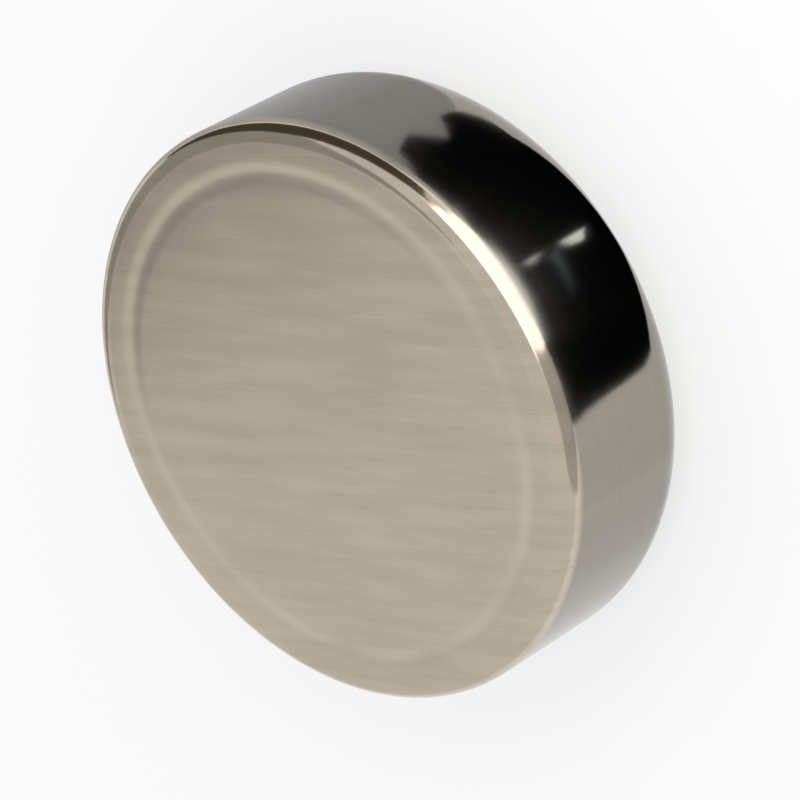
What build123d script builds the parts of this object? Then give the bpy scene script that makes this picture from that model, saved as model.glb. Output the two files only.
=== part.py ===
from build123d import *
import os
from math import sqrt

# Crimped steel button cell (1654 size) with a wound electrode pack.
# Millimetres, +Z up, origin at the middle of the negative contact face, the cell standing on it.

# ---- driving dimensions ----------------------------------------------------------------------
cell_diameter = 16.1
cell_height = 5.4

can_sheet = 0.20
face_corner_radius = 0.47
crimp_radius = 1.28
crimp_lip_flat = 0.15
cap_proud = 0.20

groove_diameter = 13.4
groove_width = 0.6
groove_depth = 0.06
groove_edge_radius = 1.1
groove_floor_radius = 0.8

seal_thickness = 0.28
seal_foot_length = 0.63
seal_foot_corner_gap = 0.12
seal_lip_proud = 0.04

cap_sheet = 0.20
contact_step_gap = 0.27
contact_edge_radius = 0.30
shoulder_inner_radius = 0.20

core_radius = 1.3
positive_strip = 0.14
negative_strip = 0.16
separator_film = 0.03
separator_overhang = 0.15
winding_tape_film = 0.05

insulator_thickness = 0.10
insulator_edge_inset = 0.35

tab_foil = 0.08
tab_width = 1.6
tab_reach = 4.6
tab_bend_radius = 0.16
tab_leg_depth = 2.4
tab_tape_film = 0.04
tab_tape_length = 2.8
tab_tape_width = 2.4

# ---- clearances ------------------------------------------------------------------------------
seat_gap = 0.02
winding_side_gap = 0.10
tab_core_gap = 0.05

# ---- sizes that follow -----------------------------------------------------------------------
can_radius = cell_diameter / 2
can_inner_radius = can_radius - can_sheet
can_floor_z = cell_height - can_sheet
crimp_center_radius = can_radius - crimp_radius
crimp_center_z = cap_proud + crimp_radius
can_lip_radius = crimp_center_radius - crimp_lip_flat
groove_radius = groove_diameter / 2

seal_radius = can_inner_radius - seat_gap
seal_top_z = can_floor_z - seat_gap
seal_crimp_radius = crimp_radius - can_sheet - seat_gap
seal_bottom_z = crimp_center_z - seal_crimp_radius
seal_lip_radius = can_lip_radius - seal_lip_proud
seal_foot_inner_radius = seal_radius - seal_foot_length
# The foot's corner is rounder than the can's inner corner and than the ring is thick.
seal_foot_radius = max(face_corner_radius - can_sheet, seal_thickness) + seal_foot_corner_gap

cap_radius = seal_radius - seal_thickness - seat_gap
cap_inner_radius = cap_radius - cap_sheet
cap_shoulder_radius = seal_crimp_radius - seal_thickness - seat_gap
cap_shoulder_z = crimp_center_z - cap_shoulder_radius
cap_rim_z = seal_top_z - seal_foot_radius
contact_radius = can_lip_radius - contact_step_gap

positive_tab_top_z = can_floor_z - seat_gap
positive_tape_top_z = positive_tab_top_z - tab_foil - seat_gap
positive_insulator_top_z = positive_tape_top_z - tab_tape_film - seat_gap
winding_top_z = positive_insulator_top_z - insulator_thickness - seat_gap
insulator_radius = cap_inner_radius - insulator_edge_inset

negative_tab_bottom_z = cap_sheet + seat_gap
negative_tape_bottom_z = negative_tab_bottom_z + tab_foil + seat_gap

# The shoulder's inside curves up towards the wall, so a disc or a winding that reaches over the
# curve stands where its lower edge meets it.
shoulder_inside_radius = cap_shoulder_radius - cap_sheet


def shoulder_height(radius):
    """Height of the cap's inside surface at a radius over the rolled shoulder."""
    reach = max(radius - crimp_center_radius, 0)
    return crimp_center_z - sqrt(shoulder_inside_radius**2 - reach**2)


winding_radius = cap_inner_radius - winding_side_gap
negative_insulator_bottom_z = shoulder_height(insulator_radius) + seat_gap
winding_bottom_z = max(
    shoulder_height(winding_radius) + seat_gap,
    negative_insulator_bottom_z + insulator_thickness + seat_gap,
)

# Lanes of the winding, from the inside out: film, negative strip, film, positive strip.
negative_lane = core_radius + separator_film + seat_gap
outer_film_lane = negative_lane + negative_strip + seat_gap
positive_lane = outer_film_lane + separator_film + seat_gap
winding_pitch = positive_lane + positive_strip + seat_gap - core_radius
# Half circles swing about two centers, a quarter pitch to each side of the axis.
winding_swing = winding_pitch / 4
tape_reach = positive_lane + winding_tape_film + winding_swing
half_turns = 1 + int((winding_radius - tape_reach) / (winding_pitch / 2))
tape_half_turns = 2
negative_half_turns = half_turns - tape_half_turns
positive_half_turns = negative_half_turns - 1
strip_top_z = winding_top_z - separator_overhang
strip_bottom_z = winding_bottom_z + separator_overhang

tab_leg_x = sqrt((core_radius - winding_swing - tab_core_gap) ** 2 - (tab_width / 2) ** 2)
tab_tape_x = tab_reach - tab_tape_length / 2


# ---- shared outlines -------------------------------------------------------------------------
def spiral_outline(start_radius, thickness, first_half_turn, last_half_turn):
    """Draw a strip seen end on, as half circles that grow by half a pitch each."""
    for half_turn in range(first_half_turn, last_half_turn):
        side = 1 - 2 * (half_turn % 2)
        center = (-side * winding_swing, 0)
        radius = start_radius + half_turn * winding_pitch / 2
        CenterArc(center, radius, 90 - 90 * side, 180)
        CenterArc(center, radius + thickness, 90 - 90 * side, 180)
    for half_turn in (first_half_turn, last_half_turn):
        side = 1 - 2 * (half_turn % 2)
        end_radius = start_radius + half_turn * winding_pitch / 2 - winding_swing
        Line((side * end_radius, 0), (side * (end_radius + thickness), 0))


# ---- positive can ----------------------------------------------------------------------------
# A deep-drawn cup: flat face with a shallow pressed ring, straight wall, lower edge rolled in.
with BuildPart() as positive_can:
    with BuildSketch(Plane.XZ):
        with BuildLine():
            can_skin = FilletPolyline(
                (0, cell_height),
                (groove_radius - groove_width / 2, cell_height),
                (groove_radius, cell_height - groove_depth),
                (groove_radius + groove_width / 2, cell_height),
                (can_radius, cell_height),
                (can_radius, cap_proud),
                (can_lip_radius, cap_proud),
                radius=[
                    groove_edge_radius,
                    groove_floor_radius,
                    groove_edge_radius,
                    face_corner_radius,
                    crimp_radius,
                ],
            )
            offset(can_skin, can_sheet, side=Side.RIGHT)
        make_face()
    revolve(axis=Axis.Z)
positive_can.part.label = "positive_can"

# ---- seal ring -------------------------------------------------------------------------------
# A J-shaped plastic ring: foot under the cap's rim, wall between can and cap, lip at the crimp.
with BuildPart() as seal_ring:
    with BuildSketch(Plane.XZ):
        with BuildLine():
            seal_skin = FilletPolyline(
                (seal_foot_inner_radius, seal_top_z),
                (seal_radius, seal_top_z),
                (seal_radius, seal_bottom_z),
                (seal_lip_radius, seal_bottom_z),
                radius=[seal_foot_radius, seal_crimp_radius],
            )
            offset(seal_skin, seal_thickness, side=Side.RIGHT)
        make_face()
    revolve(axis=Axis.Z)
seal_ring.part.label = "seal_ring"

# ---- negative cap ----------------------------------------------------------------------------
# A shallow cup that opens upward: raised contact disc, rolled shoulder, wall inside the seal.
with BuildPart() as negative_cap:
    with BuildSketch(Plane.XZ):
        with BuildLine():
            cap_skin = FilletPolyline(
                (cap_radius, cap_rim_z),
                (cap_radius, cap_shoulder_z),
                (contact_radius, cap_shoulder_z),
                (contact_radius, 0),
                (0, 0),
                radius=[cap_shoulder_radius, shoulder_inner_radius, contact_edge_radius],
            )
            offset(cap_skin, cap_sheet, side=Side.RIGHT)
        make_face()
    revolve(axis=Axis.Z)
negative_cap.part.label = "negative_cap"

# ---- wound strips ----------------------------------------------------------------------------
with BuildPart() as inner_separator:
    with BuildSketch(Plane.XY.offset(winding_bottom_z)):
        with BuildLine():
            spiral_outline(core_radius, separator_film, 0, half_turns)
        make_face()
    extrude(amount=winding_top_z - winding_bottom_z)
inner_separator.part.label = "inner_separator"

with BuildPart() as negative_electrode:
    with BuildSketch(Plane.XY.offset(strip_bottom_z)):
        with BuildLine():
            spiral_outline(negative_lane, negative_strip, 1, negative_half_turns)
        make_face()
    extrude(amount=strip_top_z - strip_bottom_z)
negative_electrode.part.label = "negative_electrode"

with BuildPart() as outer_separator:
    with BuildSketch(Plane.XY.offset(winding_bottom_z)):
        with BuildLine():
            spiral_outline(outer_film_lane, separator_film, 0, half_turns)
        make_face()
    extrude(amount=winding_top_z - winding_bottom_z)
outer_separator.part.label = "outer_separator"

with BuildPart() as positive_electrode:
    with BuildSketch(Plane.XY.offset(strip_bottom_z)):
        with BuildLine():
            spiral_outline(positive_lane, positive_strip, 1, positive_half_turns)
        make_face()
    extrude(amount=strip_top_z - strip_bottom_z)
positive_electrode.part.label = "positive_electrode"

# One wrap of tape closes the winding, in the lane that the shorter positive strip leaves free.
with BuildPart() as winding_tape:
    with BuildSketch(Plane.XY.offset(strip_bottom_z)):
        with BuildLine():
            spiral_outline(positive_lane, winding_tape_film, half_turns - tape_half_turns, half_turns)
        make_face()
    extrude(amount=strip_top_z - strip_bottom_z)
winding_tape.part.label = "winding_tape"

# ---- insulating discs ------------------------------------------------------------------------
with BuildPart() as positive_insulator:
    with BuildSketch(Plane.XY.offset(positive_insulator_top_z)):
        Circle(insulator_radius)
        Circle(core_radius, mode=Mode.SUBTRACT)
    extrude(amount=-insulator_thickness)
positive_insulator.part.label = "positive_insulator"

with BuildPart() as negative_insulator:
    with BuildSketch(Plane.XY.offset(negative_insulator_bottom_z)):
        Circle(insulator_radius)
        Circle(core_radius, mode=Mode.SUBTRACT)
    extrude(amount=insulator_thickness)
negative_insulator.part.label = "negative_insulator"

# ---- foil tabs -------------------------------------------------------------------------------
# Each foil stands in the hollow core and folds flat onto the steel that it is welded to.
with BuildPart() as positive_tab:
    with BuildSketch(Plane.XZ):
        with BuildLine():
            positive_fold = FilletPolyline(
                (-tab_leg_x, winding_top_z - tab_leg_depth),
                (-tab_leg_x, positive_tab_top_z),
                (tab_reach, positive_tab_top_z),
                radius=[tab_bend_radius],
            )
            offset(positive_fold, tab_foil, side=Side.RIGHT)
        make_face()
    extrude(amount=tab_width / 2, both=True)
positive_tab.part.label = "positive_tab"

with BuildPart() as negative_tab:
    with BuildSketch(Plane.XZ):
        with BuildLine():
            negative_fold = FilletPolyline(
                (tab_leg_x, winding_bottom_z + tab_leg_depth),
                (tab_leg_x, negative_tab_bottom_z),
                (-tab_reach, negative_tab_bottom_z),
                radius=[tab_bend_radius],
            )
            offset(negative_fold, tab_foil, side=Side.RIGHT)
        make_face()
    extrude(amount=tab_width / 2, both=True)
negative_tab.part.label = "negative_tab"

# ---- tapes over the tabs ---------------------------------------------------------------------
with BuildPart() as positive_tab_tape:
    with BuildSketch(Plane.XY.offset(positive_tape_top_z)):
        with Locations((tab_tape_x, 0)):
            Rectangle(tab_tape_length, tab_tape_width)
    extrude(amount=-tab_tape_film)
positive_tab_tape.part.label = "positive_tab_tape"

with BuildPart() as negative_tab_tape:
    with BuildSketch(Plane.XY.offset(negative_tape_bottom_z)):
        with Locations((-tab_tape_x, 0)):
            Rectangle(tab_tape_length, tab_tape_width)
    extrude(amount=tab_tape_film)
negative_tab_tape.part.label = "negative_tab_tape"

# ---- files -----------------------------------------------------------------------------------
os.makedirs("parts", exist_ok=True)
export_step(positive_can.part, "parts/positive_can.step")
export_step(negative_cap.part, "parts/negative_cap.step")
export_step(seal_ring.part, "parts/seal_ring.step")
export_step(positive_electrode.part, "parts/positive_electrode.step")
export_step(negative_electrode.part, "parts/negative_electrode.step")
export_step(inner_separator.part, "parts/inner_separator.step")
export_step(outer_separator.part, "parts/outer_separator.step")
export_step(winding_tape.part, "parts/winding_tape.step")
export_step(positive_insulator.part, "parts/positive_insulator.step")
export_step(negative_insulator.part, "parts/negative_insulator.step")
export_step(positive_tab.part, "parts/positive_tab.step")
export_step(negative_tab.part, "parts/negative_tab.step")
export_step(positive_tab_tape.part, "parts/positive_tab_tape.step")
export_step(negative_tab_tape.part, "parts/negative_tab_tape.step")
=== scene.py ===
"""Looks of a crimped steel button cell, the kind that powers a wireless earbud.

The cell stands on its negative cap with the flat face of the can up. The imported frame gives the
outer sizes. The three shells that show are spun again here as fine meshes with true bends, and the
sealed inner pieces keep their construction meshes and get finishes of their own.
"""

from __future__ import annotations

import logging
import math
from collections.abc import Callable, Mapping, Sequence
from dataclasses import dataclass, field
from enum import Enum
from typing import Any

import bpy
from mathutils import Matrix, Vector

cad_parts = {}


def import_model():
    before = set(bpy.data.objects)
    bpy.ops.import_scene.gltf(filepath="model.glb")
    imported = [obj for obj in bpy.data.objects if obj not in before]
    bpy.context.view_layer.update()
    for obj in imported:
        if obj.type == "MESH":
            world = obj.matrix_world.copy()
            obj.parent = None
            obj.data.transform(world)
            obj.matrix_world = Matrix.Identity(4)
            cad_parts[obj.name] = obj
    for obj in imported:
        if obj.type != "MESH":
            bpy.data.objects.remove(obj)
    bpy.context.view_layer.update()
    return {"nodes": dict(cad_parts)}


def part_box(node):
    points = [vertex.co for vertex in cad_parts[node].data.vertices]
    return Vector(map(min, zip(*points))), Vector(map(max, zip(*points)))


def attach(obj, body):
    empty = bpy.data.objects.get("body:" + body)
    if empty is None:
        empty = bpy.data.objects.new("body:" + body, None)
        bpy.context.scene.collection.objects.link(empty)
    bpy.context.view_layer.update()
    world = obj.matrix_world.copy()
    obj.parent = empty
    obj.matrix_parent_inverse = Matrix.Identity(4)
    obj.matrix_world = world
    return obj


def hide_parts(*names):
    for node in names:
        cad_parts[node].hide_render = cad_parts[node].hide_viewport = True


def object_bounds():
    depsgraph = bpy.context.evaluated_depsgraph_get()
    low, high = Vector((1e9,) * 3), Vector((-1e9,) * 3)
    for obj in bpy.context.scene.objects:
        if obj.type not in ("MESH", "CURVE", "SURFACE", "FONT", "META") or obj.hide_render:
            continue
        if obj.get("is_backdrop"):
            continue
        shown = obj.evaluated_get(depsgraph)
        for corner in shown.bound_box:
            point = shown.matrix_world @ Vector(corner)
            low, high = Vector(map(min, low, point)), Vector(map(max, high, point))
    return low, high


LOG = logging.getLogger("button_cell")
MM = 0.001
BODY = "root"
UNDER_FLAG = 0.03
FLAG_LEVEL = 0.05
OVER_FLAG = 0.06

Tone = tuple[float, float, float]
Point = tuple[float, float]


class Node(Enum):
    """Pieces of the cell, by the name of their construction node."""

    CAN = "positive_can"
    CAP = "negative_cap"
    SEAL = "seal_ring"
    POSITIVE_STRIP = "positive_electrode"
    NEGATIVE_STRIP = "negative_electrode"
    INNER_FILM = "inner_separator"
    OUTER_FILM = "outer_separator"
    WINDING_TAPE = "winding_tape"
    POSITIVE_DISC = "positive_insulator"
    NEGATIVE_DISC = "negative_insulator"
    POSITIVE_TAB = "positive_tab"
    NEGATIVE_TAB = "negative_tab"
    POSITIVE_TAPE = "positive_tab_tape"
    NEGATIVE_TAPE = "negative_tab_tape"


class Slot(Enum):
    """Material slots of the record."""

    STEEL = "nickel_plated_steel"
    SEAL = "seal_plastic"
    POSITIVE = "positive_coating"
    NEGATIVE = "negative_coating"
    FILM = "separator"
    DISC = "insulator"
    ALUMINIUM = "aluminium_foil"
    NICKEL = "nickel_foil"
    TAPE = "amber_tape"


# ---- shader graph ----------------------------------------------------------------------------
class Value:
    """A number that varies over a surface; arithmetic on it adds Math nodes."""

    def __init__(self, graph: Graph, socket: bpy.types.NodeSocket) -> None:
        """Wrap a socket.

        Args:
            graph: The graph that the socket belongs to.
            socket: An output socket that gives a number.
        """
        self.graph = graph
        self.socket = socket

    def _math(self, operation: str, *terms: Value | float) -> Value:
        """Add one Math node.

        Args:
            operation: Blender's name of the operation.
            terms: The node's inputs, in order.

        Returns:
            The node's result.
        """
        return self.graph.value("ShaderNodeMath", {"operation": operation}, dict(enumerate(terms)))

    def __add__(self, other: Value | float) -> Value:
        """Return the sum."""
        return self._math("ADD", self, other)

    def __radd__(self, other: float) -> Value:
        """Return the sum with a plain number in front."""
        return self._math("ADD", other, self)

    def __sub__(self, other: Value | float) -> Value:
        """Return the difference."""
        return self._math("SUBTRACT", self, other)

    def __rsub__(self, other: float) -> Value:
        """Return a plain number less this value."""
        return self._math("SUBTRACT", other, self)

    def __mul__(self, other: Value | float) -> Value:
        """Return the product."""
        return self._math("MULTIPLY", self, other)

    def __rmul__(self, other: float) -> Value:
        """Return the product with a plain number in front."""
        return self._math("MULTIPLY", other, self)

    def step(self, low: float, high: float) -> Value:
        """Rise smoothly from 0 to 1 between two numbers.

        Args:
            low: Where the rise starts.
            high: Where it ends.

        Returns:
            A mask between 0 and 1.
        """
        settings = {"interpolation_type": "SMOOTHSTEP"}
        return self.graph.value("ShaderNodeMapRange", settings, {0: self, 1: low, 2: high})


class Graph:
    """Builds the node tree of one material."""

    def __init__(self, name: str) -> None:
        """Start an empty material.

        Args:
            name: The material's name.
        """
        self.material = bpy.data.materials.new(name)
        self.material.use_nodes = True
        self.tree = self.material.node_tree
        self.tree.nodes.clear()

    def node(
        self,
        kind: str,
        settings: Mapping[str, Any] | None = None,
        inputs: Mapping[str | int, Any] | None = None,
    ) -> bpy.types.Node:
        """Add a node, set its settings, then fill or link its sockets.

        Args:
            kind: Blender's type name of the node.
            settings: The node's own properties.
            inputs: Values, sockets or Value objects by socket name or number.

        Returns:
            The new node.
        """
        made = self.tree.nodes.new(kind)
        for key, setting in (settings or {}).items():
            setattr(made, key, setting)
        for key, given in (inputs or {}).items():
            socket = given.socket if isinstance(given, Value) else given
            if isinstance(socket, bpy.types.NodeSocket):
                self.tree.links.new(socket, made.inputs[key])
            else:
                made.inputs[key].default_value = socket
        return made

    def value(
        self,
        kind: str,
        settings: Mapping[str, Any] | None = None,
        inputs: Mapping[str | int, Any] | None = None,
        output: str | int = 0,
    ) -> Value:
        """Add a node and wrap one of its outputs as a number.

        Args:
            kind: Blender's type name of the node.
            settings: The node's own properties.
            inputs: Values or links of its sockets.
            output: The output socket to wrap.

        Returns:
            The wrapped output.
        """
        return Value(self, self.node(kind, settings, inputs).outputs[output])

    def place(self) -> bpy.types.NodeSocket:
        """Return the surface point in millimetres, in the shared frame."""
        coordinates = self.node("ShaderNodeTexCoord").outputs["Object"]
        return self.vector("SCALE", {0: coordinates, "Scale": 1 / MM})

    def vector(self, operation: str, inputs: Mapping[str | int, Any]) -> bpy.types.NodeSocket:
        """Add a Vector Math node.

        Args:
            operation: Blender's name of the operation.
            inputs: Values or links of its sockets.

        Returns:
            The resulting vector's socket.
        """
        return self.node("ShaderNodeVectorMath", {"operation": operation}, inputs).outputs[0]

    def stretch(
        self, point: bpy.types.NodeSocket, scale: Tone, turn_deg: float = 0.0
    ) -> bpy.types.NodeSocket:
        """Turn a point about the axis, then scale it.

        Args:
            point: The point to map.
            scale: Factors along X, Y and Z, in cycles per millimetre for a noise.
            turn_deg: Turn about Z before the scaling.

        Returns:
            The mapped point.
        """
        turned = self.node(
            "ShaderNodeVectorRotate",
            {"rotation_type": "Z_AXIS"},
            {"Vector": point, "Angle": math.radians(turn_deg)},
        ).outputs[0]
        return self.vector("MULTIPLY", {0: turned, 1: scale})

    def noise(
        self, point: bpy.types.NodeSocket, detail: float = 2.0, roughness: float = 0.5
    ) -> Value:
        """Add a noise of one cycle per unit, between 0 and 1.

        Args:
            point: Where to read it.
            detail: Number of finer octaves.
            roughness: Strength of the finer octaves.

        Returns:
            The noise.
        """
        inputs = {"Vector": point, "Scale": 1.0, "Detail": detail, "Roughness": roughness}
        return self.value("ShaderNodeTexNoise", {"noise_dimensions": "3D"}, inputs)

    def blend(self, factor: Value, first: Any, second: Any) -> bpy.types.NodeSocket:
        """Mix two colours.

        Args:
            factor: Share of the second colour.
            first: Tone or socket.
            second: Tone or socket.

        Returns:
            The mixed colour's socket.
        """
        sources = {}
        for key, colour in ((6, first), (7, second)):
            plain = isinstance(colour, tuple)
            sources[key] = (*colour, 1.0) if plain else colour
        settings = {"data_type": "RGBA"}
        return self.node("ShaderNodeMix", settings, {0: factor, **sources}).outputs[2]

    def bump(self, height: Value, depth_mm: float, under: Any = None) -> bpy.types.NodeSocket:
        """Raise a surface in shading.

        Args:
            height: Height between 0 and 1.
            depth_mm: Height in millimetres that a value of 1 stands for.
            under: The normal of a bump below this one.

        Returns:
            The normal's socket.
        """
        inputs: dict[str | int, Any] = {"Distance": depth_mm * MM, "Height": height}
        if under is not None:
            inputs["Normal"] = under
        return self.node("ShaderNodeBump", None, inputs).outputs[0]

    def finish(self, sockets: Mapping[str | int, Any]) -> bpy.types.Material:
        """Close the tree with a Principled shader.

        Args:
            sockets: Values or links of the shader's sockets.

        Returns:
            The finished material.
        """
        shader = self.node("ShaderNodeBsdfPrincipled", None, sockets)
        self.node("ShaderNodeOutputMaterial", None, {"Surface": shader.outputs[0]})
        return self.material


# ---- finishes --------------------------------------------------------------------------------
@dataclass(frozen=True)
class NickelPlate:
    """Satin nickel plate on a pressed face, drawn bright on the wall and the bends; the wall's
    darker tone is painted shade.
    """

    name: str
    face_z: float
    face_radius: float
    face_is_up: bool
    ring_radius: float
    face_tone: Tone = (0.65, 0.568, 0.458)
    face_shade: Tone = (0.50, 0.435, 0.345)
    # The ring tone is lighter than the face: a painted sheen on the pressed ring.
    ring_sheen_tone: Tone = (0.70, 0.62, 0.505)
    # The wall tones are darker than the face's plate: painted shade that dims the mirror-bright
    # wall.
    wall_painted_shade_tone: Tone = (0.39, 0.355, 0.305)
    wall_painted_shade_low: Tone = (0.26, 0.24, 0.212)
    face_roughness: float = 0.36
    wall_roughness: float = 0.13
    rolling_turn_deg: float = -64.8
    blend_width: float = 0.12
    bend_depth: float = 0.6
    ring_reach: float = 0.32
    ring_flat: float = 0.05
    ring_sheen_strength: float = 0.5
    cloud_scale: Tone = (0.22, 0.22, 0.22)
    grain_scale: Tone = (14.0, 14.0, 14.0)
    draw_scale: Tone = (0.15, 0.15, 9.0)
    flute_scale: Tone = (1.1, 1.1, 0.08)
    sheen_patch_scale: Tone = (0.35, 0.35, 0.35)
    broad_line_scale: Tone = (0.28, 2.3, 0.5)
    fine_line_scale: Tone = (0.8, 22.0, 0.5)
    grain_relief: float = 0.0016
    flute_relief: float = 0.006

    def make(self) -> bpy.types.Material:
        """Return the material."""
        graph = Graph(self.name)
        point = graph.place()
        near_face = self._near_face(graph, point)
        on_face = near_face * self._inside_bend(graph, point)
        lines = self._rolling_lines(graph, point)
        cloud = graph.noise(graph.stretch(point, self.cloud_scale), 3.0, 0.55)
        grain = graph.noise(graph.stretch(point, self.grain_scale), 3.0, 0.6)
        draw = graph.noise(graph.stretch(point, self.draw_scale), 3.0, 0.6)
        flutes = graph.noise(graph.stretch(point, self.flute_scale), 2.0, 0.5)
        face = graph.blend(cloud * 0.55 + lines * 0.45, self.face_shade, self.face_tone)
        # A painted sheen: the pressed ring is drawn in a lighter tone.
        face = graph.blend(self._ring_sheen_mask(graph, point), face, self.ring_sheen_tone)
        # The wall is drawn darker than the face as painted shade, varied at random by the draw
        # marks and flutes.
        wall = graph.blend(draw * 0.4 + flutes * 0.6, self.wall_painted_shade_low, self.wall_painted_shade_tone)
        face_rough = self.face_roughness - 0.05 + cloud * 0.06 + grain * 0.04
        wall_rough = self.wall_roughness - 0.04 + draw * 0.05 + flutes * 0.04
        roughness = on_face * face_rough + (1 - on_face) * wall_rough
        relief = on_face * (grain * 0.45 + lines * 0.55) + (1 - on_face) * (draw * 0.3 + 0.35)
        normal = graph.bump(relief, self.grain_relief)
        normal = graph.bump(flutes * (1 - on_face), self.flute_relief, normal)
        return graph.finish(
            {
                "Base Color": graph.blend(near_face, wall, face),
                "Metallic": 1.0,
                "Roughness": roughness,
                "Normal": normal,
            }
        )

    def _near_face(self, graph: Graph, point: bpy.types.NodeSocket) -> Value:
        """Return 1 on the face and its bend and 0 on the wall.

        Args:
            graph: The material's graph.
            point: The surface point in millimetres.

        Returns:
            The mask.
        """
        height = Value(graph, graph.node("ShaderNodeSeparateXYZ", None, {0: point}).outputs["Z"])
        if self.face_is_up:
            return height.step(self.face_z - self.bend_depth, self.face_z - self.bend_depth / 2)
        return 1 - height.step(self.face_z + self.bend_depth / 2, self.face_z + self.bend_depth)

    def _inside_bend(self, graph: Graph, point: bpy.types.NodeSocket) -> Value:
        """Return 1 inside the face's bend and 0 on the bend and beyond."""
        radius = self._radius(graph, point)
        return 1 - radius.step(self.face_radius - self.blend_width, self.face_radius)

    @staticmethod
    def _radius(graph: Graph, point: bpy.types.NodeSocket) -> Value:
        """Return the distance of a surface point from the axis."""
        flat = graph.vector("MULTIPLY", {0: point, 1: (1.0, 1.0, 0.0)})
        return graph.value("ShaderNodeVectorMath", {"operation": "LENGTH"}, {0: flat}, "Value")

    def _ring_sheen_mask(self, graph: Graph, point: bpy.types.NodeSocket) -> Value:
        """Return where a lighter tone paints sheen on the pressed ring, in patches.

        Args:
            graph: The material's graph.
            point: The surface point in millimetres.

        Returns:
            The mask.
        """
        radius = self._radius(graph, point)
        sheen_patches = graph.noise(graph.stretch(point, self.sheen_patch_scale), 1.0)
        inner = radius.step(self.ring_radius - self.ring_reach, self.ring_radius - self.ring_flat)
        outer = radius.step(self.ring_radius + self.ring_flat, self.ring_radius + self.ring_reach)
        return inner * (1 - outer) * sheen_patches.step(0.25, 0.7) * self.ring_sheen_strength

    def _rolling_lines(self, graph: Graph, point: bpy.types.NodeSocket) -> Value:
        """Return the faint lines that the rolled sheet keeps.

        Args:
            graph: The material's graph.
            point: The surface point in millimetres.

        Returns:
            A height between 0 and 1.
        """
        turn = self.rolling_turn_deg
        broad = graph.noise(graph.stretch(point, self.broad_line_scale, turn), 1.0)
        fine = graph.noise(graph.stretch(point, self.fine_line_scale, turn), 2.0)
        return (broad * 0.6 + fine * 0.4).step(0.32, 0.68)


@dataclass(frozen=True)
class Polymer:
    """Moulded plastic or film with a faint cloud in its tone."""

    name: str
    tone: Tone
    shade: Tone
    roughness: float = 0.42
    grain_per_mm: float = 6.0
    relief_mm: float = 0.002
    coat: float = 0.0

    def make(self) -> bpy.types.Material:
        """Return the material."""
        graph = Graph(self.name)
        point = graph.place()
        cloud = graph.noise(graph.stretch(point, (0.6, 0.6, 0.6)), 3.0)
        grain = graph.noise(graph.stretch(point, (self.grain_per_mm,) * 3), 3.0, 0.6)
        return graph.finish(
            {
                "Base Color": graph.blend(cloud * 0.6 + grain * 0.4, self.shade, self.tone),
                "Roughness": self.roughness - 0.06 + grain * 0.12,
                "Coat Weight": self.coat,
                "Normal": graph.bump(grain, self.relief_mm),
            }
        )


@dataclass(frozen=True)
class Foil:
    """Thin rolled foil with lines along its length."""

    name: str
    tone: Tone
    shade: Tone
    roughness: float = 0.26

    def make(self) -> bpy.types.Material:
        """Return the material."""
        graph = Graph(self.name)
        point = graph.place()
        lines = graph.noise(graph.stretch(point, (0.4, 16.0, 0.4)), 2.0)
        cloud = graph.noise(graph.stretch(point, (0.9, 0.9, 0.9)), 2.0)
        return graph.finish(
            {
                "Base Color": graph.blend(cloud * 0.5 + lines * 0.5, self.shade, self.tone),
                "Metallic": 1.0,
                "Roughness": self.roughness - 0.05 + lines * 0.1,
                "Normal": graph.bump(lines, 0.0015),
            }
        )


@dataclass(frozen=True)
class Coating:
    """Matt powder coating of an electrode strip, calendered smooth."""

    name: str
    tone: Tone
    shade: Tone

    def make(self) -> bpy.types.Material:
        """Return the material."""
        graph = Graph(self.name)
        point = graph.place()
        powder = graph.noise(graph.stretch(point, (30.0, 30.0, 30.0)), 4.0, 0.7)
        patch = graph.noise(graph.stretch(point, (1.5, 1.5, 1.5)), 3.0)
        return graph.finish(
            {
                "Base Color": graph.blend(powder * 0.6 + patch * 0.4, self.shade, self.tone),
                "Roughness": 0.7 + powder * 0.2,
                "Normal": graph.bump(powder, 0.004),
            }
        )


# ---- sheet sections --------------------------------------------------------------------------
@dataclass(frozen=True)
class Corner:
    """A corner of a sheet's skin: radius from the axis, height and bend radius, in millimetres."""

    r: float
    z: float
    bend: float = 0.0

    def at(self) -> Vector:
        """Return the corner as a flat vector."""
        return Vector((self.r, self.z))


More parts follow.
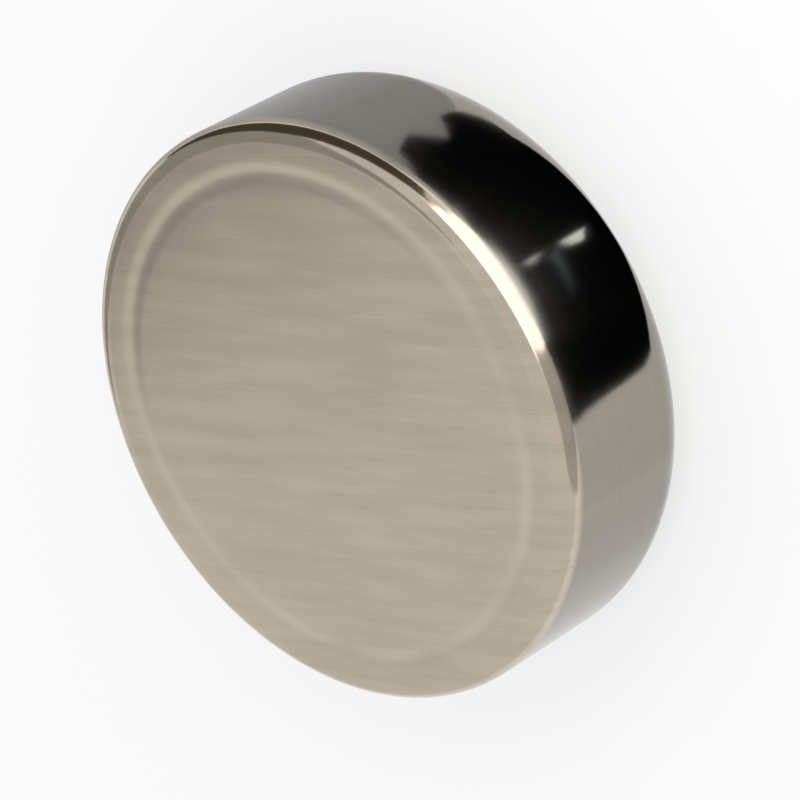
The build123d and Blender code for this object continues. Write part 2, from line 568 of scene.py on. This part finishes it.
@dataclass(frozen=True)
class SheetSection:
    """A bent sheet cut along the axis: a skin with bends, and its twin one thickness inside.

    The skin runs so that the material lies on its right hand.
    """

    skin: tuple[Corner, ...]
    thickness: float
    bend_step_deg: float = 6.0
    run_step: float = 0.6

    def outline(self) -> list[Point]:
        """Return the closed outline, the skin first and then its twin backwards."""
        return self._trace(self.skin) + self._trace(self._twin())[::-1]

    def _twin(self) -> tuple[Corner, ...]:
        """Return the corners of the skin moved one thickness to its right."""
        points = [corner.at() for corner in self.skin]
        runs = [(b - a).normalized() for a, b in zip(points, points[1:])]
        sides = [Vector((run.y, -run.x)) for run in runs]
        moved = [self._corner(points[0] + sides[0] * self.thickness, 0.0)]
        for number, corner in enumerate(self.skin[1:-1], start=1):
            before, after = sides[number - 1], sides[number]
            shift = (before + after) * (self.thickness / (1 + before.dot(after)))
            turns_right = runs[number - 1].cross(runs[number]) < 0
            change = -self.thickness if turns_right else self.thickness
            moved.append(self._corner(points[number] + shift, max(corner.bend + change, 0.0)))
        moved.append(self._corner(points[-1] + sides[-1] * self.thickness, 0.0))
        return tuple(moved)

    @staticmethod
    def _corner(point: Vector, bend: float) -> Corner:
        """Return a corner at a flat vector, with a bend radius."""
        return Corner(point.x, point.y, bend)

    def _trace(self, skin: Sequence[Corner]) -> list[Point]:
        """Return points along a skin, with its bends as arcs and its runs in short steps.

        Args:
            skin: The corners in order.

        Returns:
            The points, ends included.
        """
        knots = [[skin[0].at()]]
        for before, corner, after in zip(skin, skin[1:], skin[2:]):
            knots.append(self._arc(before.at(), corner, after.at()))
        knots.append([skin[-1].at()])
        points: list[Point] = []
        for here, following in zip(knots, knots[1:]):
            points.extend((p.x, p.y) for p in here)
            start, end = here[-1], following[0]
            steps = max(1, math.ceil((end - start).length / self.run_step))
            for number in range(1, steps):
                middle = start.lerp(end, number / steps)
                points.append((middle.x, middle.y))
        points.extend((p.x, p.y) for p in knots[-1])
        return points

    def _arc(self, before: Vector, corner: Corner, after: Vector) -> list[Vector]:
        """Return the points of one bend.

        Args:
            before: The corner before.
            corner: The corner with its bend radius.
            after: The corner after.

        Returns:
            One point for a sharp corner, else points along the arc.
        """
        middle = corner.at()
        if corner.bend <= 0.0:
            return [middle]
        back = (before - middle).normalized()
        ahead = (after - middle).normalized()
        half = back.angle(ahead) / 2
        start = middle + back * (corner.bend / math.tan(half))
        center = middle + (back + ahead).normalized() * (corner.bend / math.sin(half))
        sweep = math.pi - 2 * half
        if back.cross(ahead) > 0:
            sweep = -sweep
        steps = max(3, math.ceil(abs(math.degrees(sweep)) / self.bend_step_deg))
        spoke = start - center
        return [
            center + Matrix.Rotation(sweep * number / steps, 2) @ spoke
            for number in range(steps + 1)
        ]


@dataclass(frozen=True)
class Lathe:
    """Spins a closed outline round the axis into one smooth mesh."""

    wobble: Callable[[float, float], float]
    segments: int = 288
    sharp_deg: float = 35.0

    def spin(self, name: str, outline: Sequence[Point]) -> bpy.types.Object:
        """Make the mesh object.

        Args:
            name: The object's name.
            outline: Radius and height of each point, in millimetres, closed by its last side.

        Returns:
            The object, linked to the scene.
        """
        vertices: list[Tone] = []
        rings: list[list[int]] = []
        for radius, height in outline:
            around = self.segments if radius > 1e-6 else 1
            rings.append([len(vertices) + number for number in range(around)])
            vertices.extend(self._ring(radius, height, around))
        faces: list[tuple[int, ...]] = []
        for lower, upper in zip(rings, rings[1:] + rings[:1]):
            faces.extend(self._band(lower, upper))
        mesh = bpy.data.meshes.new(name)
        mesh.from_pydata(vertices, [], faces)
        mesh.validate()
        mesh.shade_smooth()
        mesh.set_sharp_from_angle(angle=math.radians(self.sharp_deg))
        made = bpy.data.objects.new(name, mesh)
        bpy.context.scene.collection.objects.link(made)
        return made

    def _ring(self, radius: float, height: float, around: int) -> list[Tone]:
        """Return one ring of points in metres.

        Args:
            radius: The ring's radius in millimetres.
            height: Its height.
            around: Number of points.

        Returns:
            The points.
        """
        points = []
        for number in range(around):
            angle = math.tau * number / self.segments
            reach = (radius + self.wobble(angle, radius)) * MM
            points.append((reach * math.cos(angle), reach * math.sin(angle), height * MM))
        return points

    def _band(self, first: Sequence[int], second: Sequence[int]) -> list[tuple[int, ...]]:
        """Return the faces between two rings, either of which may be a single point.

        Args:
            first: Vertex numbers of one ring.
            second: Vertex numbers of the next ring along the outline.

        Returns:
            The faces, facing outwards where the outline runs with the material on its right.
        """
        if len(first) == 1 and len(second) == 1:
            return []
        faces: list[tuple[int, ...]] = []
        for number in range(self.segments):
            after = (number + 1) % self.segments
            if len(first) == 1:
                faces.append((first[0], second[number], second[after]))
            elif len(second) == 1:
                faces.append((first[number], second[0], first[after]))
            else:
                faces.append((first[number], second[number], second[after], first[after]))
        return faces


# ---- sub-assemblies --------------------------------------------------------------------------
def dress(piece: bpy.types.Object, material: bpy.types.Material) -> None:
    """Give a piece its only material.

    Args:
        piece: The mesh object.
        material: The material.
    """
    piece.data.materials.clear()
    piece.data.materials.append(material)


@dataclass
class Shells:
    """The can, the cap and the seal ring between them, spun from their sheet sections."""

    can_sheet: float = 0.20
    face_bend: float = 0.47
    crimp_bend: float = 1.28
    lip_flat: float = 0.15
    groove_radius: float = 6.70
    groove_width: float = 0.60
    groove_depth: float = 0.06
    groove_edge_bend: float = 1.1
    groove_floor_bend: float = 0.8
    seal_sheet: float = 0.28
    seal_foot_bend: float = 0.40
    seal_foot_length: float = 0.63
    cap_sheet: float = 0.20
    step_gap: float = 0.27
    shoulder_bend: float = 0.20
    contact_bend: float = 0.30
    seat_gap: float = 0.02
    draw_waves: tuple[tuple[int, float, float], ...] = (
        (3, 0.0016, 0.4),
        (5, 0.0010, 2.1),
        (11, 0.0006, 1.2),
        (17, 0.0004, 5.0),
    )
    boxes: dict[Node, tuple[Vector, Vector]] = field(default_factory=dict)

    def build(self) -> None:
        """Make the three shells and put them on the cell's body."""
        for node in (Node.CAN, Node.CAP, Node.SEAL):
            lo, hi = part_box(node.value)
            self.boxes[node] = (lo / MM, hi / MM)
        self._shell(Node.CAN, self._can_section(), Slot.STEEL, self._can_finish())
        self._shell(Node.CAP, self._cap_section(), Slot.STEEL, self._cap_finish())
        self._shell(Node.SEAL, self._seal_section(), Slot.SEAL, self._seal_finish())

    def _shell(
        self, node: Node, section: SheetSection, slot: Slot, material: bpy.types.Material
    ) -> None:
        """Spin one shell in place of its construction node.

        Args:
            node: The node that it stands for.
            section: Its section.
            slot: Its record slot; not used.
            material: Its material.
        """
        piece = Lathe(self._wave).spin(f"{node.value}_shell", section.outline())
        dress(piece, material)
        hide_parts(node.value)
        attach(piece, BODY)
        LOG.info("%s: %d faces", piece.name, len(piece.data.polygons))

    def _wave(self, angle: float, radius: float) -> float:
        """Return the slight waviness that drawing leaves in a wall, as a move outwards."""
        reach = (radius / self._can_radius()) ** 2
        out = sum(size * math.sin(count * angle + lag) for count, size, lag in self.draw_waves)
        return (out - self.draw_waves[0][1]) * reach

    def _top(self, node: Node) -> float:
        """Return a node's highest point in millimetres."""
        return self.boxes[node][1].z

    def _foot(self, node: Node) -> float:
        """Return a node's lowest point in millimetres."""
        return self.boxes[node][0].z

    def _radius(self, node: Node) -> float:
        """Return a node's outer radius in millimetres."""
        return self.boxes[node][1].x

    def _can_radius(self) -> float:
        """Return the can's outer radius."""
        return self._radius(Node.CAN)

    def _lip_radius(self) -> float:
        """Return the radius at which the rolled-in lip ends."""
        return self._can_radius() - self.crimp_bend - self.lip_flat

    def _contact_radius(self) -> float:
        """Return the outer radius of the cap's raised contact."""
        return self._lip_radius() - self.step_gap

    def _can_section(self) -> SheetSection:
        """Return the can: flat face with a shallow ring, wall, and rolled-in lower edge."""
        top, foot, radius = self._top(Node.CAN), self._foot(Node.CAN), self._can_radius()
        half = self.groove_width / 2
        skin = (
            Corner(0.0, top),
            Corner(self.groove_radius - half, top, self.groove_edge_bend),
            Corner(self.groove_radius, top - self.groove_depth, self.groove_floor_bend),
            Corner(self.groove_radius + half, top, self.groove_edge_bend),
            Corner(radius, top, self.face_bend),
            Corner(radius, foot, self.crimp_bend),
            Corner(self._lip_radius(), foot),
        )
        return SheetSection(skin, self.can_sheet)

    def _cap_section(self) -> SheetSection:
        """Return the cap: wall, rolled shoulder, step and contact disc."""
        rim, foot, radius = self._top(Node.CAP), self._foot(Node.CAP), self._radius(Node.CAP)
        bend = self.crimp_bend - (self._can_radius() - radius)
        shoulder = self._foot(Node.CAN) + self.crimp_bend - bend
        contact = self._contact_radius()
        skin = (
            Corner(radius, rim),
            Corner(radius, shoulder, bend),
            Corner(contact, shoulder, self.shoulder_bend),
            Corner(contact, foot, self.contact_bend),
            Corner(0.0, foot),
        )
        return SheetSection(skin, self.cap_sheet)

    def _seal_section(self) -> SheetSection:
        """Return the seal: foot, wall, and lip under the crimp."""
        top, foot, radius = self._top(Node.SEAL), self._foot(Node.SEAL), self._radius(Node.SEAL)
        bend = self.crimp_bend - (self._can_radius() - radius)
        skin = (
            Corner(radius - self.seal_foot_length, top),
            Corner(radius, top, self.seal_foot_bend),
            Corner(radius, foot, bend),
            Corner(self._lip_radius() - self.seat_gap * 2, foot),
        )
        return SheetSection(skin, self.seal_sheet)

    def _can_finish(self) -> bpy.types.Material:
        """Return the can's plate, satin inside the bend of its face."""
        edge = self._can_radius() - self.face_bend
        return NickelPlate(
            "can_nickel_plate", self._top(Node.CAN), edge, True, self.groove_radius
        ).make()

    def _cap_finish(self) -> bpy.types.Material:
        """Return the cap's plate, satin on its contact disc."""
        edge = self._contact_radius() - self.contact_bend
        return NickelPlate("cap_nickel_plate", self._foot(Node.CAP), edge, False, edge).make()

    @staticmethod
    def _seal_finish() -> bpy.types.Material:
        """Return the seal's natural moulded plastic."""
        return Polymer("seal_plastic", (0.82, 0.80, 0.74), (0.74, 0.72, 0.66)).make()


@dataclass
class Winding:
    """The wound strips, their films and the tape that closes them."""

    nodes: Mapping[str, bpy.types.Object]

    def dress(self) -> None:
        """Give the wound pieces their finishes."""
        film = Polymer("separator_film", (0.93, 0.93, 0.91), (0.86, 0.86, 0.85), 0.5, 25.0).make()
        positive = Coating("positive_coating", (0.05, 0.05, 0.055), (0.02, 0.02, 0.024)).make()
        negative = Coating("negative_coating", (0.09, 0.09, 0.095), (0.04, 0.04, 0.045)).make()
        tape = Polymer("amber_tape", (0.72, 0.40, 0.07), (0.62, 0.31, 0.04), 0.25, 3.0, 0.001, 0.4)
        dress(self.nodes[Node.POSITIVE_STRIP.value], positive)
        dress(self.nodes[Node.NEGATIVE_STRIP.value], negative)
        dress(self.nodes[Node.INNER_FILM.value], film)
        dress(self.nodes[Node.OUTER_FILM.value], film)
        for node in (Node.WINDING_TAPE, Node.POSITIVE_TAPE, Node.NEGATIVE_TAPE):
            dress(self.nodes[node.value], tape.make())
        LOG.info("winding dressed")


@dataclass
class Terminals:
    """The foil tabs and the discs that keep the winding off the steel."""

    nodes: Mapping[str, bpy.types.Object]

    def dress(self) -> None:
        """Give the tabs and discs their finishes."""
        disc = Polymer("insulator_disc", (0.80, 0.86, 0.90), (0.72, 0.79, 0.84), 0.3, 8.0).make()
        aluminium = Foil("aluminium_foil", (0.86, 0.86, 0.87), (0.78, 0.78, 0.80)).make()
        nickel = Foil("nickel_foil", (0.66, 0.61, 0.53), (0.58, 0.53, 0.46)).make()
        dress(self.nodes[Node.POSITIVE_DISC.value], disc)
        dress(self.nodes[Node.NEGATIVE_DISC.value], disc)
        dress(self.nodes[Node.POSITIVE_TAB.value], aluminium)
        dress(self.nodes[Node.NEGATIVE_TAB.value], nickel)
        LOG.info("tabs and discs dressed")


# ---- studio ----------------------------------------------------------------------------------
@dataclass(frozen=True)
class SoftLamp:
    """A rectangular lamp that faces a point, with its brightness as seen in a mirror."""

    name: str
    place: Tone
    size: Point
    brightness: float
    tone: Tone = (1.0, 1.0, 1.0)

    def hang(self, aim: Vector) -> None:
        """Hang the lamp.

        Args:
            aim: The point that it faces, in metres.
        """
        lamp = bpy.data.lights.new(self.name, "AREA")
        lamp.shape = "RECTANGLE"
        lamp.size, lamp.size_y = self.size[0] * MM, self.size[1] * MM
        lamp.energy = self.brightness * math.pi * lamp.size * lamp.size_y
        lamp.color = self.tone
        made = bpy.data.objects.new(self.name, lamp)
        made.location = Vector(self.place) * MM
        made.rotation_mode = "QUATERNION"
        made.rotation_quaternion = (aim - made.location).to_track_quat("-Z", "Y")
        bpy.context.scene.collection.objects.link(made)


@dataclass(frozen=True)
class MirrorCard:
    """A flat card near the cell that only a reflection shows, as a studio flag does."""

    name: str
    corners: tuple[Tone, ...]
    brightness: float
    tone: Tone = (1.0, 1.0, 1.0)

    @classmethod
    def flat(
        cls,
        name: str,
        points: Sequence[Point],
        level: float,
        brightness: float,
        tone: Tone = (1.0, 1.0, 1.0),
    ) -> MirrorCard:
        """Return a card that lies level.

        Args:
            name: The card's name.
            points: Its corners seen from above, in millimetres.
            level: Its height.
            brightness: How bright it looks in a mirror.
            tone: Its tone.

        Returns:
            The card.
        """
        return cls(name, tuple((x, y, level) for x, y in points), brightness, tone)

    def stand(self) -> None:
        """Put up the card as part of the stage."""
        mesh = bpy.data.meshes.new(self.name)
        mesh.from_pydata([Vector(c) * MM for c in self.corners], [], [range(len(self.corners))])
        graph = Graph(self.name)
        glow = {"Color": (*self.tone, 1.0), "Strength": self.brightness}
        light = graph.node("ShaderNodeEmission", None, glow)
        graph.node("ShaderNodeOutputMaterial", None, {"Surface": light.outputs[0]})
        mesh.materials.append(graph.material)
        card = bpy.data.objects.new(self.name, mesh)
        bpy.context.scene.collection.objects.link(card)
        card.visible_camera = False
        card.visible_diffuse = False
        card.visible_shadow = False
        card.visible_transmission = False
        card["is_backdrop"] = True


@dataclass
class Studio:
    """A pale floor, soft lamps, and the cards that the bright wall mirrors."""

    floor_half: float = 900.0
    floor_tone: Tone = (0.94, 0.94, 0.94)
    floor_white: float = 0.65
    sky_brightness: float = 0.8
    lamps: tuple[SoftLamp, ...] = (
        SoftLamp("key_lamp", (25.0, -96.0, 66.0), (110.0, 80.0), 2.1, (1.0, 0.975, 0.93)),
    )
    cards: tuple[MirrorCard, ...] = (
        MirrorCard.flat(
            "floor_flag",
            (
                (8.9, -6.7),
                (7.3, -7.6),
                (7.5, -6.4),
                (6.7, -6.5),
                (4.8, -7.6),
                (0.0, -7.6),
                (-2.0, -8.1),
                (-4.0, -8.7),
                (-5.5, -9.9),
                (-7.2, -10.9),
                (-7.6, -13.0),
                (-4.8, -13.4),
                (0.0, -13.5),
                (2.6, -13.3),
                (4.9, -12.5),
                (8.8, -9.9),
                (9.4, -7.5),
            ),
            FLAG_LEVEL,
            0.002,
        ),
        MirrorCard.flat(
            "grey_card",
            ((6.8, -14.0), (30.0, -20.0), (30.0, 30.0), (6.8, 30.0)),
            UNDER_FLAG,
            0.56,
            (0.97, 0.98, 1.0),
        ),
        MirrorCard(
            "side_flag",
            ((50.0, -50.0, 0.5), (50.0, 52.0, 0.5), (50.0, 52.0, 44.0), (50.0, -50.0, 44.0)),
            0.08,
            (1.0, 0.85, 0.7),
        ),
        MirrorCard.flat(
            "apron_card",
            ((4.9, -12.6), (11.5, -19.0), (-5.0, -21.0), (-2.6, -13.4)),
            OVER_FLAG,
            2.2,
            (0.97, 0.98, 1.0),
        ),
        MirrorCard(
            "front_card",
            ((11.5, -19.0, 0.1), (30.0, -40.0, 40.0), (-13.0, -48.0, 40.0), (-5.0, -21.0, 0.1)),
            2.2,
            (0.97, 0.98, 1.0),
        ),
        MirrorCard(
            "corner_card",
            ((-5.2, -21.0, 0.1), (-14.0, -48.0, 40.0), (-46.0, -30.0, 40.0), (-20.0, -14.0, 0.1)),
            0.5,
        ),
        MirrorCard.flat(
            "corner_apron",
            ((-2.8, -13.5), (-5.2, -21.0), (-20.0, -14.0), (-8.0, -11.0)),
            OVER_FLAG,
            0.5,
        ),
        MirrorCard(
            "shade_card",
            ((7.0, 45.0, 14.0), (60.0, 45.0, 14.0), (60.0, 12.0, 50.0), (7.0, 12.0, 50.0)),
            0.38,
        ),
        MirrorCard.flat(
            "near_glint",
            ((1.84, -12.1), (1.7, -11.4), (1.4, -11.8)),
            OVER_FLAG,
            1.5,
        ),
        MirrorCard.flat(
            "far_glint",
            ((1.5, -10.6), (1.25, -9.5), (0.95, -9.9), (1.15, -10.4)),
            OVER_FLAG,
            1.9,
            (0.92, 1.0, 1.0),
        ),
        MirrorCard.flat(
            "blue_glint",
            ((1.35, -11.15), (1.3, -10.9), (-1.0, -11.25)),
            OVER_FLAG,
            0.35,
            (0.6, 0.95, 1.0),
        ),
    )

    def build(self) -> None:
        """Lay the floor, light it and set up the cards."""
        self._floor()
        self._sky()
        lo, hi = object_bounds()
        for lamp in self.lamps:
            lamp.hang((lo + hi) / 2)
        for card in self.cards:
            card.stand()
        view = bpy.context.scene.view_settings
        view.view_transform = "Standard"
        LOG.info("studio: %d lamps, %d cards", len(self.lamps), len(self.cards))

    def _floor(self) -> None:
        """Lay the pale floor, just under the cell."""
        half = self.floor_half * MM
        corners = [(-half, -half, 0.0), (half, -half, 0.0), (half, half, 0.0), (-half, half, 0.0)]
        mesh = bpy.data.meshes.new("floor")
        mesh.from_pydata(corners, [], [(0, 1, 2, 3)])
        mesh.materials.append(self._floor_finish())
        floor = bpy.data.objects.new("floor", mesh)
        bpy.context.scene.collection.objects.link(floor)
        floor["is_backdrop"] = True

    def _floor_finish(self) -> bpy.types.Material:
        """Return the floor's matt white, lifted to full white where it is looked at."""
        graph = Graph("pale_floor")
        matt = graph.node("ShaderNodeBsdfDiffuse", None, {"Color": (*self.floor_tone, 1.0)})
        white = graph.node("ShaderNodeEmission", None, {"Strength": 1.0})
        path = graph.node("ShaderNodeLightPath").outputs
        looked_at = Value(graph, path["Is Camera Ray"]) + Value(graph, path["Is Glossy Ray"])
        looked_at = looked_at + Value(graph, path["Is Transmission Ray"])
        shaders = {0: looked_at * self.floor_white, 1: matt.outputs[0], 2: white.outputs[0]}
        mixed = graph.node("ShaderNodeMixShader", None, shaders)
        graph.node("ShaderNodeOutputMaterial", None, {"Surface": mixed.outputs[0]})
        return graph.material

    def _sky(self) -> None:
        """Light everything evenly, and show white behind the floor's far edge."""
        world = bpy.data.worlds.new("soft_sky")
        world.use_nodes = True
        tree = world.node_tree
        tree.nodes.clear()
        sky = tree.nodes.new("ShaderNodeBackground")
        sky.inputs["Strength"].default_value = self.sky_brightness
        sky.inputs["Color"].default_value = (1.0, 1.0, 1.0, 1.0)
        out = tree.nodes.new("ShaderNodeOutputWorld")
        tree.links.new(sky.outputs[0], out.inputs[0])
        bpy.context.scene.world = world


@dataclass(frozen=True)
class Camera:
    """A long lens that looks down on the face, turned about its own axis."""

    elevation_deg: float = 42.73
    roll_deg: float = 119.83
    distance: float = 115.3
    lens: float = 197.9
    aim_right: float = 0.331
    aim_down: float = 0.461
    aim_height: float = 0.52

    def place(self) -> None:
        """Put the camera in the scene."""
        lo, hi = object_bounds()
        height = lo.z + (hi.z - lo.z) * self.aim_height
        elevation, roll = math.radians(self.elevation_deg), math.radians(self.roll_deg)
        back = Vector((0.0, -math.cos(elevation), math.sin(elevation)))
        level = Vector((1.0, 0.0, 0.0))
        rise = back.cross(level)
        right = level * math.cos(roll) - rise * math.sin(roll)
        up = level * math.sin(roll) + rise * math.cos(roll)
        data = bpy.data.cameras.new("camera")
        data.lens = self.lens
        data.clip_start = MM
        camera = bpy.data.objects.new("camera", data)
        shift = (right * self.aim_right - up * self.aim_down) * MM
        place = Vector((0.0, 0.0, height)) + back * self.distance * MM + shift
        turn = Matrix((right, up, back)).transposed()
        camera.matrix_world = Matrix.Translation(place) @ turn.to_4x4()
        bpy.context.scene.collection.objects.link(camera)
        bpy.context.scene.camera = camera
        LOG.info("camera at %.1f mm", self.distance)


def plain(corners: Sequence[Vector]) -> list[list[float]]:
    """Return two box corners as plain lists of numbers."""
    return [list(corner) for corner in corners]


def main() -> None:
    """Build the cell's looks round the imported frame."""
    logging.basicConfig(level=logging.INFO, format="%(name)s: %(message)s")
    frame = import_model()
    Shells().build()
    Winding(frame["nodes"]).dress()
    Terminals(frame["nodes"]).dress()
    Studio().build()
    Camera().place()


if __name__ == "__main__":
    main()
